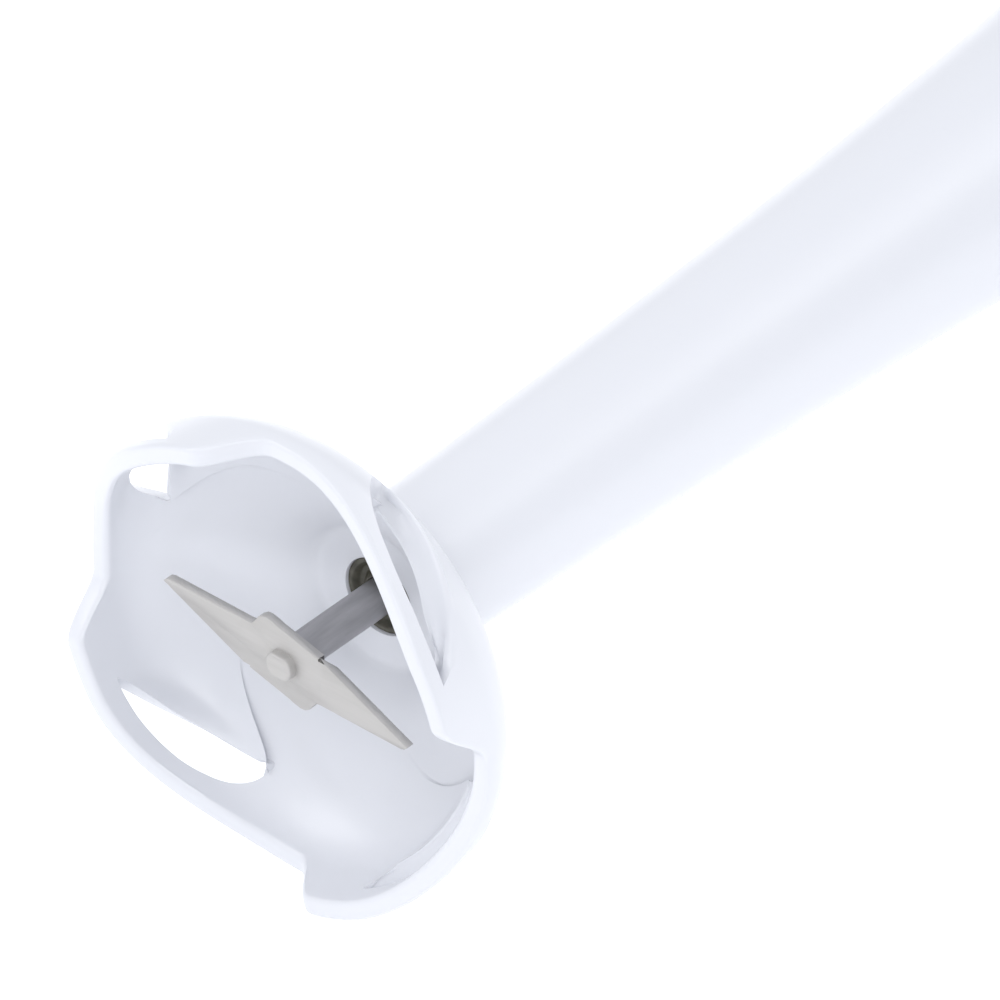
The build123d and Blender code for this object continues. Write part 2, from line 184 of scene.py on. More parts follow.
# what each brushed metal has of its own over the plain steel, except the ground faces, whose dark colour is
# painted shade
shaftLook = {
    "light": (0.47, 0.46, 0.47),
    "dark": (0.36, 0.355, 0.36),
    "roughLow": 0.42,
    "roughHigh": 0.55,
}
bladeLook = {
    "light": (0.47, 0.46, 0.45),
    "dark": (0.425, 0.415, 0.405),
    "roughLow": 0.52,
    "roughHigh": 0.62,
    "metal": 0.55,
}
# painted shade: the blade's ground faces are coloured much darker than the blade steel, standing for the
# shade they show
groundEdgeShadeLook = {
    "light": (0.14, 0.135, 0.13),
    "dark": (0.07, 0.068, 0.065),
}
sheetLook = {
    "size": 1800.0,
    "light": (0.30, 0.30, 0.31),
    "dark": (0.12, 0.12, 0.13),
}
copperLook = {
    "size": 1600.0,
    "light": (0.62, 0.24, 0.11),
    "dark": (0.34, 0.11, 0.05),
}


def brushedMaterial(name, look, stretch, depth=0.000015):
    mat, tree, shader = newMaterial(name)
    streak = addNoise(tree, look.get("size", 900.0), 3.0, 0.6, stretch)
    tree.links.new(addRamp(tree, streak, look["dark"], look["light"]), shader.inputs["Base Color"])
    tree.links.new(addRamp(tree, streak, look["roughLow"], look["roughHigh"]), shader.inputs["Roughness"])
    patch = addNoise(tree, 240.0, 4.0)
    first = addBump(tree, shader, patch, 0.2, depth)
    addBump(tree, shader, streak, 0.5, depth, first)
    shader.inputs["Metallic"].default_value = look.get("metal", 1.0)
    return mat


def plainMaterial(name, light, dark, roughLow, roughHigh, size=300.0, metal=0.0, depth=0.00003):
    mat, tree, shader = newMaterial(name)
    tone = addNoise(tree, size, 5.0, 0.6)
    tree.links.new(addRamp(tree, tone, dark, light), shader.inputs["Base Color"])
    tree.links.new(addRamp(tree, tone, roughHigh, roughLow), shader.inputs["Roughness"])
    addBump(tree, shader, tone, 0.4, depth)
    shader.inputs["Metallic"].default_value = metal
    return mat


print("making materials")
whitePlastic = plasticMaterial("white plastic", plastic)
innerPlastic = plainMaterial("inner plastic", (0.80, 0.81, 0.82), (0.74, 0.75, 0.77), 0.42, 0.58, 120.0)
greyPlastic = plainMaterial("button plastic", (0.42, 0.44, 0.46), (0.37, 0.39, 0.41), 0.38, 0.52, 700.0)
shaftSteel = brushedMaterial("shaft steel", {**steel, **shaftLook}, (1, 0.12, 1))
bladeSteel = brushedMaterial("blade steel", {**steel, **bladeLook}, (0.12, 1, 1.2))
# painted shade: a darkened copy of the steel for the blade's ground faces
groundEdgeShadeSteel = brushedMaterial("ground edge painted dark", {**steel, **groundEdgeShadeLook}, (1.5, 0.2, 0.2))
wireSteel = brushedMaterial("spring wire", steel, (1, 1, 0.3))
oliveRubber = plainMaterial("olive rubber", (0.075, 0.070, 0.048), (0.030, 0.028, 0.018), 0.45, 0.62, 420.0)
blackRubber = plainMaterial("black rubber", (0.04, 0.04, 0.042), (0.022, 0.022, 0.024), 0.55, 0.75, 500.0)
blackPlastic = plainMaterial("black plastic", (0.045, 0.045, 0.048), (0.028, 0.028, 0.03), 0.35, 0.5, 380.0)
bronze = plainMaterial("sintered bronze", (0.50, 0.33, 0.16), (0.36, 0.22, 0.10), 0.4, 0.55, 1500.0, 1.0)
plated = plainMaterial("zinc plate", (0.58, 0.59, 0.58), (0.46, 0.47, 0.47), 0.3, 0.45, 260.0, 1.0)
ferrite = plainMaterial("ferrite", (0.085, 0.085, 0.09), (0.05, 0.05, 0.055), 0.55, 0.7, 900.0)
laminated = brushedMaterial("steel sheets", {**steel, **sheetLook}, (0.05, 1, 0.05))
copper = brushedMaterial("copper wire", {**steel, **copperLook}, (0.3, 1, 0.3))
carbon = plainMaterial("carbon", (0.05, 0.05, 0.05), (0.025, 0.025, 0.025), 0.5, 0.65, 800.0)
boardGreen = plainMaterial("green board", (0.035, 0.16, 0.065), (0.02, 0.11, 0.04), 0.3, 0.45, 200.0)

nodeLooks = {
    whitePlastic: ["bell_guard", "wand_tube", "shell_top", "shell_bottom", "end_cap"],
    innerPlastic: ["shaft_carrier", "wand_socket", "fan", "button_bridge"],
    greyPlastic: ["power_button", "turbo_button", "release_left", "release_right"],
    shaftSteel: ["drive_shaft", "motor_shaft"],
    bladeSteel: ["blade"],
    wireSteel: ["wire_catch", "retaining_clip"],
    oliveRubber: ["shaft_seal"],
    blackRubber: ["cord_inlet", "motor_rings"],
    blackPlastic: ["drive_dog", "drive_hub", "brush_plate", "switches", "capacitor"],
    bronze: ["lower_bush", "upper_bush", "front_bearing", "rear_bearing"],
    plated: ["shell_screws", "motor_can"],
    ferrite: ["magnets"],
    laminated: ["armature_core"],
    copper: ["windings", "commutator"],
    carbon: ["brushes"],
    boardGreen: ["circuit_board"],
}
for mat, names in nodeLooks.items():
    for name in names:
        nodes[name].data.materials.clear()
        nodes[name].data.materials.append(mat)


def addMesh(name, points, faces, mats):
    mesh = bpy.data.meshes.new(name)
    mesh.from_pydata(points, [], faces)
    mesh.update()
    obj = bpy.data.objects.new(name, mesh)
    bpy.context.scene.collection.objects.link(obj)
    for mat in mats:
        mesh.materials.append(mat)
    return obj


def finishMesh(obj, smoothShade=True):
    # faces all out, shading smooth
    work = bmesh.new()
    work.from_mesh(obj.data)
    bmesh.ops.recalc_face_normals(work, faces=work.faces)
    work.to_mesh(obj.data)
    work.free()
    for face in obj.data.polygons:
        face.use_smooth = smoothShade


def shadeByAngle(obj, limit=30):
    # smooth where the surface is meant to be smooth, sharp at real corners
    work = bmesh.new()
    work.from_mesh(obj.data)
    for edge in work.edges:
        edge.smooth = edge.is_manifold and edge.calc_face_angle(0) < math.radians(limit)
    for face in work.faces:
        face.smooth = True
    work.to_mesh(obj.data)
    work.free()


# stations run back from the blade, heights run ahead of it, angles are within one tooth of 90
bell = {
    "toothLow": 0.4,
    "toothHigh": 6.8,
    "steepStart": 2.5,
    "steepEnd": 16.5,
    "crestEnd": 29.0,
    "gentleEnd": 86.0,
    "outerRadius": 32.6,
    "innerRadius": 29.9,
    "outerRound": 0.55,  # rounding of the rim
    "innerRound": 0.9,
    "slotStart": 25.5,
    "slotEnd": 73.5,
    "holeStart": 28.5,
    "holeEnd": 70.2,
    "slotColumns": 60,
    "gapColumns": 44,
    "sharpFrom": 38,  # degrees between two faces
    "columnBunch": 0.06,  # columns stand closer together at each slot's ends
    "barSteps": 12,
    "outsideSteps": 26,
    "insideSteps": 28,
    "insideBunch": 1.15,
    "wallSteps": 8,
    "rimFrontSteps": 5,
    "rimBackSteps": 4,
    "lipInwards": 1.4,  # how far the back edge of each slot stands into the bell
    "lipThickness": 0.5,
    "lipSetBack": 0.12,
    "lipTip": 0.04,
    "scoopRise": 12,
    "scoopPast": 1.5,
    "scoopDrop": 2.5,
    "scoopLength": 5.0,
    "softEdge": [(-0.25, -0.08), (-0.5, -0.28), (-0.75, -0.7)],
    "endFade": 4,
    "creaseDepth": 0.14,
    "creaseStart": 44,
    "creaseRise": 26,
    "creasePast": 1.8,
    "creaseDrop": 1.4,
    "creaseLead": 0.4,
    "creaseLeadLength": 1.2,
    "creaseFade": 13.5,
    "creaseFadeLength": 4.0,
    "swirl": 45.0,
    "swirlStart": 5.2,
    "swirlLength": 7.5,
    "ceilingEdge": 16.6,
    "collarStart": 19.4,
    "outerCurve": [(-9, 32.6), (1.0, 32.6), (3.6, 31.7), (6.6, 29.6), (9.6, 26.0),
                   (12.8, 20.8), (16.0, 15.4), (19.5, 10.3)],
    "innerCurve": [(-9, 29.9), (0.5, 29.9), (3.5, 29.0), (6.5, 26.9), (9.4, 23.3),
                   (11.8, 18.6), (13.8, 14.2), (15.6, 11.3), (16.8, 9.9)],
    # the socket round the wand's end, then the pocket round the seal
    "neck": [(19.5, 10.1), (19.55, 9.6), (19.6, 7.9), (19.9, 7.6), (43.7, 7.6), (44.0, 7.3),
             (44.0, 4.9), (43.7, 4.62), (21.3, 4.62), (21.0, 4.9), (21.0, 5.15), (20.8, 5.4),
             (17.1, 5.4), (16.86, 5.5), (16.8, 5.7), (16.8, 6.8), (16.8, 8.3), (16.78, 9.3)],
    "socketRadius": 7,  # neck points beyond this radius and station stay in line with the outside
    "socketStation": 19,
    # the slot's front and back edges, outside and inside: (angle, height)
    "frontOuter": [(25.5, 4.75), (31.6, 4.6), (37.3, 4.3), (40.8, 4.0), (46.7, 3.4), (51.4, 2.75),
                   (55.8, 1.9), (59.8, 0.95), (63.2, -0.1), (66.4, -1.4), (70, -3.6),
                   (72.4, -5.9), (73.5, -8.1)],
    "backOuter": [(25.5, 4.75), (27.0, 3.3), (30.5, 1.4), (40.3, -2.3), (50.5, -5.1),
                  (60.4, -7.1), (68, -8.4), (72.4, -8.8), (73.5, -8.1)],
    "frontInner": [(28.5, 3.1), (31, 3.15), (35, 3.05), (40, 2.8), (46, 2.2), (52, 1.4), (56, 0.65),
                   (60, -0.35), (64, -1.5), (67, -2.7), (69.4, -4.2), (70.2, -5.2)],
    "backInner": [(28.5, 3.1), (30, 2.2), (32, 1.5), (40, -0.4), (49, -2.7), (55, -3.9),
                  (61.5, -4.85), (67, -5.5), (69.4, -5.65), (70.2, -5.2)],
    "betweenOuter": [(73.5, -8.1), (76, -8.2), (82, -7.6), (92, -5.4), (100, -2.6), (107, 0.9),
                     (112, 3.6), (115.5, 4.75)],
    "betweenInner": [(70.2, -5.2), (74, -6.2), (80, -6.4), (92, -4.8), (100, -2.2), (107, 0.4),
                     (113, 2.3), (118.5, 3.1)],
}


def rimHeight(angle):
    step = angle % 90
    if step < bell["crestEnd"]:
        share = smooth((step - bell["steepStart"]) / (bell["steepEnd"] - bell["steepStart"]))
    else:
        share = smooth((bell["gentleEnd"] - step) / (bell["gentleEnd"] - bell["crestEnd"]))
    return bell["toothLow"] + (bell["toothHigh"] - bell["toothLow"]) * share


def bellColumns():
    # (outer angle, inner angle, in a slot) for one tooth, slot first
    columns = []
    outerSpan = bell["slotEnd"] - bell["slotStart"]
    innerSpan = bell["holeEnd"] - bell["holeStart"]
    for i in range(bell["slotColumns"]):
        share = i / bell["slotColumns"]
        share = share - bell["columnBunch"] * math.sin(2 * math.pi * share)
        columns.append((bell["slotStart"] + outerSpan * share, bell["holeStart"] + innerSpan * share, True))
    for i in range(bell["gapColumns"]):
        share = i / bell["gapColumns"]
        share = share - bell["columnBunch"] * math.sin(2 * math.pi * share)
        outerAt = bell["slotEnd"] + (90 - outerSpan) * share
        innerAt = bell["holeEnd"] + (90 - innerSpan) * share
        columns.append((outerAt, innerAt, False))
    return columns


def scoopDepth(inner):
    # the wall behind each slot leans into the bell
    if inner < bell["holeStart"] or inner > 90:
        return 0.0
    rise = smooth((inner - bell["holeStart"]) / bell["scoopRise"])
    drop = smooth((bell["holeEnd"] + bell["scoopPast"] - inner) / bell["scoopDrop"])
    return bell["lipInwards"] * rise * drop


def creaseDepth(inner):
    # the wall swells slowly into the bell and drops back at a crease by each slot's tail
    if inner > 90:
        return 0.0
    rise = smooth((inner - bell["creaseStart"]) / bell["creaseRise"])
    drop = smooth((bell["holeEnd"] + bell["creasePast"] - inner) / bell["creaseDrop"])
    return bell["creaseDepth"] * rise * drop


def arc(centre, radius, start, end, steps):
    spots = []
    for i in range(steps + 1):
        turn = math.radians(start + (end - start) * i / steps)
        spots.append((centre[0] + radius * math.sin(turn), centre[1] + radius * math.cos(turn)))
    return spots


def bellSection(outerAt, innerAt, inSlot):
    # two runs of (angle, station, radius): the bar in front of the slot, then everything behind it
    outer = bell["outerCurve"]
    inner = bell["innerCurve"]
    rim = rimHeight(outerAt)
    if inSlot:
        frontO = between(bell["frontOuter"], outerAt)
        backO = between(bell["backOuter"], outerAt)
        frontI = between(bell["frontInner"], innerAt)
        backI = between(bell["backInner"], innerAt)
    else:
        frontO = backO = between(bell["betweenOuter"], outerAt)
        frontI = backI = between(bell["betweenInner"], innerAt)
    # the bar: inner face up to the rim, over it, and down the outside
    bar = []
    inRound = bell["innerRound"]
    outRound = bell["outerRound"]
    for i in range(bell["barSteps"] + 1):
        share = i / bell["barSteps"]
        height = frontI + (rim - inRound - frontI) * share
        place = innerAt + (outerAt - innerAt) * smooth(share)
        bar.append((place, -height, between(inner, -height)))
    turns = arc((rim - inRound, bell["innerRadius"] + inRound), inRound, 180, 90, bell["rimFrontSteps"])
    bar += [(outerAt, -height, radius) for height, radius in turns[1:]]
    turns = arc((rim - outRound, bell["outerRadius"] - outRound), outRound, 90, 0, bell["rimBackSteps"])
    bar += [(outerAt, -height, radius) for height, radius in turns]
    for i in range(1, bell["barSteps"] + 1):
        share = i / bell["barSteps"]
        height = rim - outRound + (frontO - rim + outRound) * share
        bar.append((outerAt, -height, between(outer, -height)))
    # the body: down the outside from the slot, round the neck, and back up the inside
    body = []
    start = -backO
    for i in range(bell["outsideSteps"] + 1):
        share = i / bell["outsideSteps"]
        station = start + (bell["collarStart"] - start) * share
        body.append((outerAt, station, between(outer, station)))
    swirled = innerAt - bell["swirl"]
    for station, radius in bell["neck"]:
        inSocket = radius > bell["socketRadius"] and station > bell["socketStation"]
        place = outerAt if inSocket else swirled
        body.append((place, station, radius))
    deep = -backI
    scoop = scoopDepth(innerAt)
    crease = creaseDepth(innerAt)
    for i in range(bell["insideSteps"] + 1):
        share = 1 - i / bell["insideSteps"]
        station = deep + (bell["ceilingEdge"] - deep) * (share ** bell["insideBunch"])
        twist = bell["swirl"] * smooth((station - bell["swirlStart"]) / bell["swirlLength"])
        lean = smooth((deep + bell["scoopLength"] - station) / bell["scoopLength"])
        radius = between(inner, station) - scoop * lean
        lead = smooth((station - deep + bell["creaseLead"]) / bell["creaseLeadLength"])
        fade = smooth((bell["creaseFade"] - station) / bell["creaseFadeLength"])
        radius -= crease * lead * fade
        body.append((innerAt - twist, station, radius))
    # walls of the slot, the same number of points front and back
    innerLip = body[-1]
    frontWall = []
    backWall = []
    count = bell["wallSteps"]
    if inSlot:
        barIn = bar[0]
        barOut = bar[-1]
        bodyOut = body[0]
        thick = min(bell["lipThickness"], abs(backO - backI) * 0.5)
        fromStart = (outerAt - bell["slotStart"]) / bell["endFade"]
        fromEnd = (bell["slotEnd"] - outerAt) / bell["endFade"]
        ends = min(1.0, fromStart, fromEnd)
        for i in range(1, count):
            share = i / count
            frontWall.append(tuple(barOut[k] + (barIn[k] - barOut[k]) * share for k in range(3)))
            # from the outside: over a soft edge, along a sloping floor, to a thin lip
            plainSpot = [bodyOut[k] + (innerLip[k] - bodyOut[k]) * share for k in range(3)]
            place = plainSpot[0]
            steps = bell["softEdge"]
            low = (bodyOut[1] + steps[2][0], bodyOut[2] + steps[2][1])
            high = (innerLip[1] + bell["lipSetBack"], innerLip[2] + thick)
            if i <= 3:
                shaped = (bodyOut[1] + steps[i - 1][0], bodyOut[2] + steps[i - 1][1])
            elif i == count - 1:
                shaped = (innerLip[1] - bell["lipTip"], innerLip[2] + thick * 0.5)
            else:
                t = (i - 3) / (count - 5)
                shaped = (low[0] + (high[0] - low[0]) * t, low[1] + (high[1] - low[1]) * t)
            station = plainSpot[1] + (shaped[0] - plainSpot[1]) * ends
            radius = plainSpot[2] + (shaped[1] - plainSpot[2]) * ends
            backWall.append((place, station, radius))
    return bar, body, frontWall, backWall


def makeBell():
    columns = bellColumns()
    points = []
    spots = {}

    def addSpot(key, spot):
        place, station, radius = spot
        spots[key] = len(points)
        points.append(onAxis(station, radius, place))

    sections = []
    for tooth in range(4):
        for outerAt, innerAt, inSlot in columns:
            bar, body, frontWall, backWall = bellSection(outerAt, innerAt, inSlot)
            first = outerAt == bell["slotStart"]
            turned = tooth * 90
            column = len(sections)
            sections.append((inSlot, first, len(bar), len(body)))
            for kind, run in (("bar", bar), ("body", body), ("front", frontWall), ("back", backWall)):
                for i, (place, station, radius) in enumerate(run):
                    # where the slot is closed, both sides of it share their points
                    shared = first or not inSlot
                    if shared and kind == "body" and i == 0:
                        spots[(column, kind, i)] = spots[(column, "bar", len(bar) - 1)]
                    elif shared and kind == "body" and i == len(body) - 1:
                        spots[(column, kind, i)] = spots[(column, "bar", 0)]
                    elif first and kind == "back":
                        spots[(column, kind, i)] = spots[(column, "front", i)]
                    else:
                        addSpot((column, kind, i), (place + turned, station, radius))
    total = len(sections)
    barSize = sections[0][2]
    bodySize = sections[0][3]
    wallSize = bell["wallSteps"] - 1
    faces = []
    for column in range(total):
        beside = (column + 1) % total
        inSlot = sections[column][0]
        for kind, size in (("bar", barSize), ("body", bodySize)):
            for i in range(size - 1):
                corners = [(column, i), (beside, i), (beside, i + 1), (column, i + 1)]
                faces.append(tuple(spots[(at, kind, row)] for at, row in corners))
        if inSlot:
            for side in ("front", "back"):
                ends = []
                for at in (column, beside):
                    start = spots[(at, "bar", barSize - 1)] if side == "front" else spots[(at, "body", 0)]
                    finish = spots[(at, "bar", 0)] if side == "front" else spots[(at, "body", bodySize - 1)]
                    if (at, side, 0) in spots:
                        middle = [spots[(at, side, i)] for i in range(wallSize)]
                    else:
                        middle = tailPoints(points, spots, at, start, finish, wallSize)
                    ends.append([start] + middle + [finish])
                for i in range(wallSize + 1):
                    faces.append((ends[0][i], ends[1][i], ends[1][i + 1], ends[0][i + 1]))
    obj = addMesh("bell_shell", points, faces, [whitePlastic])
    finishMesh(obj)
    shadeByAngle(obj, bell["sharpFrom"])
    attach(obj, "wand")
    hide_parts("bell_guard")


def tailPoints(points, spots, column, start, finish, size):
    # where a slot ends, front and back walls meet in one line
    key = (column, "tail", 0)
    if key not in spots:
        for i in range(size):
            share = (i + 1) / (size + 1)
            spots[(column, "tail", i)] = len(points)
            points.append(points[start].lerp(points[finish], share))
    return [spots[(column, "tail", i)] for i in range(size)]


print("making the bell guard")
makeBell()


def addTurned(name, profile, mats, segments):
    # (station, radius) points turned about the drive axis
    count = len(profile)
    points = []
    for step in range(segments):
        for station, radius in profile:
            points.append(onAxis(station, radius, step * 360 / segments))
    faces = []
    for step in range(segments):
        here = step * count
        beside = (step + 1) % segments * count
        for i in range(count):
            j = (i + 1) % count
            faces.append((here + i, beside + i, beside + j, here + j))
    obj = addMesh(name, points, faces, mats)
    finishMesh(obj)
    return obj


def rounded(corners, radius, steps=3):
    # every corner of a closed run of (station, radius) points gets a small arc
    result = []
    last = len(corners)
    for i in range(last):
        before = Vector(corners[i - 1])
        here = Vector(corners[i])
        after = Vector(corners[(i + 1) % last])
        toBefore = before - here
        toAfter = after - here
        cut = min(radius, toBefore.length * 0.45, toAfter.length * 0.45)
        start = here + toBefore.normalized() * cut
        end = here + toAfter.normalized() * cut
        for step in range(steps + 1):
            t = step / steps
            spot = start * (1 - t) ** 2 + here * 2 * t * (1 - t) + end * t * t
            result.append((spot.x, spot.y))
    return result


wand = {
    "curve": [(19.5, 10.3), (29.5, 10.5), (60, 11.6), (90, 12.9), (117, 14.4), (137, 15.8),
              (155, 17.2), (172, 18.9), (188, 21.0), (203, 23.4)],
    "wall": 2.2,
    "steps": 60,
    "edgeRound": 0.35,
    "spigotRadius": 17.5,
    "spigotBore": 14.6,
    "spigotEnd": 222.0,
    "spigotRound": 0.6,
    "boreRound": 0.3,
    "stepDown": 0.2,  # where the bore meets the wider hollow
    "neckRadius": 10.3,  # over the bell's socket
    "socketBore": 7.65,
    "shoulderRadius": 23.4,
    "catchGroove": [(212.4, 0), (212.6, 0.2), (212.8, 0.8), (214.4, 0.8), (214.6, 0.2), (214.8, 0)],
    "boreEnd": 172.0,
    "hollowEnd": 171.0,
    "hollowStart": 62.0,
    "hollowSteps": 20,
    "floor": [(60.4, 9.2), (60.0, 8.6), (60.0, 7.9), (59.6, 7.65)],
    "segments": 128,
}


def makeWand():
    start = wand["curve"][0][0]
    end = wand["curve"][-1][0]
    edge = wand["edgeRound"]
    spigot = wand["spigotRadius"]
    bore = wand["spigotBore"]
    neck = wand["neckRadius"]
    profile = [(start, wand["socketBore"]), (start, neck - edge), (start + edge * 0.3, neck - edge * 0.3)]
    for step in range(wand["steps"] + 1):
        station = start + edge + (end - start - 2 * edge) * step / wand["steps"]
        profile.append((station, between(wand["curve"], station)))
    shoulder = wand["shoulderRadius"]
    profile += [(end - edge * 0.3, shoulder - edge * 0.3), (end, shoulder - edge)]
    boreRound = wand["boreRound"]
    spigotRound = wand["spigotRound"]
    profile += [(end, spigot + boreRound), (end + boreRound, spigot)]
    profile += [(station, spigot - depth) for station, depth in wand["catchGroove"]]
    far = wand["spigotEnd"]
    profile += [(far - spigotRound, spigot), (far, spigot - spigotRound)]
    profile += [(far, bore + boreRound), (far - boreRound, bore)]
    profile += [(wand["boreEnd"] + 1, bore), (wand["boreEnd"], bore + wand["stepDown"])]
    hollow = wand["hollowEnd"] - wand["hollowStart"]
    for step in range(wand["hollowSteps"] + 1):
        station = wand["hollowEnd"] - hollow * step / wand["hollowSteps"]
        profile.append((station, between(wand["curve"], station) - wand["wall"]))
    profile += wand["floor"]
    obj = addTurned("wand_skin", profile, [whitePlastic], wand["segments"])
    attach(obj, "wand")
    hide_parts("wand_tube")


print("turning the wand, the seal and the shaft")
makeWand()

seal = {
    "front": 17.2,
    "back": 21.0,
    "outer": 5.38,
    "inner": 2.44,
    # the dished face and the lip on the shaft: (behind the front, radius)
    "face": [(0, 4.7), (0.5, 4.35), (0.9, 4.1), (1.1, 3.5), (0.7, 3.1), (0.2, 2.8), (0.1, 2.5)],
    "lipBack": 0.6,
    "edgeRound": 0.18,
    "segments": 96,
}


def makeSeal():
    front = seal["front"]
    corners = [(front, seal["outer"])]
    corners += [(front + behind, radius) for behind, radius in seal["face"]]
    corners += [(front + seal["lipBack"], seal["inner"]), (seal["back"], seal["inner"] + 0.02)]
    corners.append((seal["back"], seal["outer"]))
    profile = rounded(corners, seal["edgeRound"])
    obj = addTurned("lip_seal", profile, [oliveRubber], seal["segments"])
    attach(obj, "wand")
    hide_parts("shaft_seal")


makeSeal()

blade = {
    "half": [(6.6, 3.25), (-0.6, 5.1), (-1.6, 5.45), (-2.6, 5.68), (-3.4, 5.6), (-4.1, 5.1), (-4.6, 4.3),
             (-5.2, 3.6), (-6.0, 3.5), (-18.9, 3.5), (-19.5, 3.3), (-19.95, 2.85)],
    "thickness": 1.2,
    "groundDepth": 0.42,  # ground face in front
    "groundWidth": 0.32,
    "backWidth": 0.85,  # ground face behind
    "edgeRound": 0.07,
    "armEdge": 3.5,  # the straight cutting edge, off the middle line
    "groundFrom": -19.3,
    "groundTo": -5.7,
    "cutOver": 0.2,  # how far the grinding cut runs past each face
    "cutHeight": 0.6,
    "sharpFrom": 40,
}


def addPrism(name, outline, start, length, mats):
    # an outline in X and Z, pushed along Y
    low = [(x * 0.001, bladeY + start * 0.001, axisHeight + z * 0.001) for x, z in outline]
    high = [(x, y + length * 0.001, z) for x, y, z in low]
    count = len(outline)
    faces = [tuple(range(count)), tuple(range(count, 2 * count))]
    for i in range(count):
        j = (i + 1) % count
        faces.append((i, j, count + j, count + i))
    obj = addMesh(name, low + high, faces, mats)
    finishMesh(obj)
    return obj


def applyAll(obj):
    # the finished shape becomes the object's own mesh
    depsgraph = bpy.context.evaluated_depsgraph_get()
    finished = bpy.data.meshes.new_from_object(obj.evaluated_get(depsgraph))
    obj.modifiers.clear()
    obj.data = finished


def addBevel(obj, width, segments=2, limit=25):
    mod = obj.modifiers.new("edges", "BEVEL")
    mod.width = width * 0.001
    mod.segments = segments
    mod.limit_method = "ANGLE"
    mod.angle_limit = math.radians(limit)
    mod.use_clamp_overlap = True
    mod.harden_normals = True


def makeBlade():
    outline = blade["half"] + [(-x, -z) for x, z in blade["half"]]
    thick = blade["thickness"]
    plate = addPrism("cutting_blade", outline, -thick / 2, thick, [bladeSteel, groundEdgeShadeSteel])
    ground = blade["groundDepth"]
    over = blade["cutOver"]
    height = blade["cutHeight"]
    profile = [
        (-over, height),
        (-over, -blade["groundWidth"] * (1 + over / ground)),
        (ground, 0.0),
        (thick + over, -blade["backWidth"] * (thick + over - ground) / (thick - ground)),
        (thick + over, height),
    ]
    for side in (-1, 1):
        points = []
        for x in (blade["groundFrom"], blade["groundTo"]):
            for depth, rise in profile:
                along = bladeY + (depth - thick / 2) * 0.001
                up = axisHeight - side * (blade["armEdge"] + rise) * 0.001
                points.append((side * x * 0.001, along, up))
        count = len(profile)
        faces = [tuple(range(count)), tuple(range(count, 2 * count))]
        for i in range(count):
            j = (i + 1) % count
            faces.append((i, j, count + j, count + i))
        cutter = addMesh("cutter" + str(side), points, faces, [bladeSteel, groundEdgeShadeSteel])
        finishMesh(cutter, False)
        # painted shade: the cut faces take the darkened steel
        for face in cutter.data.polygons:
            face.material_index = 1
        cut = plate.modifiers.new("grind", "BOOLEAN")
        cut.operation = "DIFFERENCE"
        cut.solver = "EXACT"
        cut.object = cutter
        applyAll(plate)
        bpy.data.objects.remove(cutter)
    addBevel(plate, blade["edgeRound"])
    applyAll(plate)
    shadeByAngle(plate, blade["sharpFrom"])
    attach(plate, "cutter")
    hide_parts("blade")


# the shaft's end, hammered over: full at the blade, rounded off in front
rivet = {
    "radius": 2.05,
    "flat": 1.7,
    "around": 40,
    "sharpFrom": 35,
    # (station, share of the full width)
    "layers": [(0.6, 1.0), (-0.6, 1.0), (-0.7, 1.0), (-1.45, 1.0), (-1.65, 0.985), (-1.8, 0.93),
               (-1.88, 0.84), (-1.9, 0.72), (-1.87, 0.5), (-1.84, 0.28)],
}


def rivetOutline(radius, flat, steps):
    outline = []
    for step in range(steps):
        turn = math.radians(step * 360 / steps)
        x = radius * math.cos(turn)
        z = radius * math.sin(turn)
        outline.append((x, max(-flat, min(flat, z))))
    return outline


def makeRivet():
    layers = rivet["layers"]
    points = []
    size = rivet["around"]
    for station, share in layers:
        for x, z in rivetOutline(rivet["radius"] * share, rivet["flat"] * share, size):
            points.append((x * 0.001, bladeY + station * 0.001, axisHeight + z * 0.001))
    faces = []
    for layer in range(len(layers) - 1):
        here = layer * size
        ahead = here + size
        for i in range(size):
            j = (i + 1) % size
            faces.append((here + i, here + j, ahead + j, ahead + i))
    faces.append(tuple(range(size)))
    faces.append(tuple(range((len(layers) - 1) * size, len(layers) * size)))
    obj = addMesh("rivet_end", points, faces, [bladeSteel])
    finishMesh(obj)
    shadeByAngle(obj, rivet["sharpFrom"])
    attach(obj, "cutter")


shaft = {
    "radius": 2.4,
    "front": 0.6,
    "back": 212.0,
    "middle": 0.02,  # the ends close on a tiny circle
    "grooveRadius": 1.9,
    "groove": (184.35, 184.4, 185.2, 185.25),
    "edgeRound": 0.12,
    "segments": 64,
}


def makeShaft():
    # a plain rod with a groove for the retaining clip
    radius = shaft["radius"]
    deep = shaft["grooveRadius"]
    corners = [(shaft["front"], shaft["middle"]), (shaft["front"], radius)]
    corners += list(zip(shaft["groove"], (radius, deep, deep, radius)))
    corners += [(shaft["back"], radius), (shaft["back"], shaft["middle"])]
    profile = rounded(corners, shaft["edgeRound"])
    obj = addTurned("drive_rod", profile, [shaftSteel], shaft["segments"])
    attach(obj, "cutter")
    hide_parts("drive_shaft")


makeBlade()
makeRivet()
makeShaft()

spring = {
    "turns": 5,
    "wireRadius": 0.00035,
    "stepsPerTurn": 36,
    "around": 10,
    "travel": 0.002,
    "sharpFrom": 60,
}


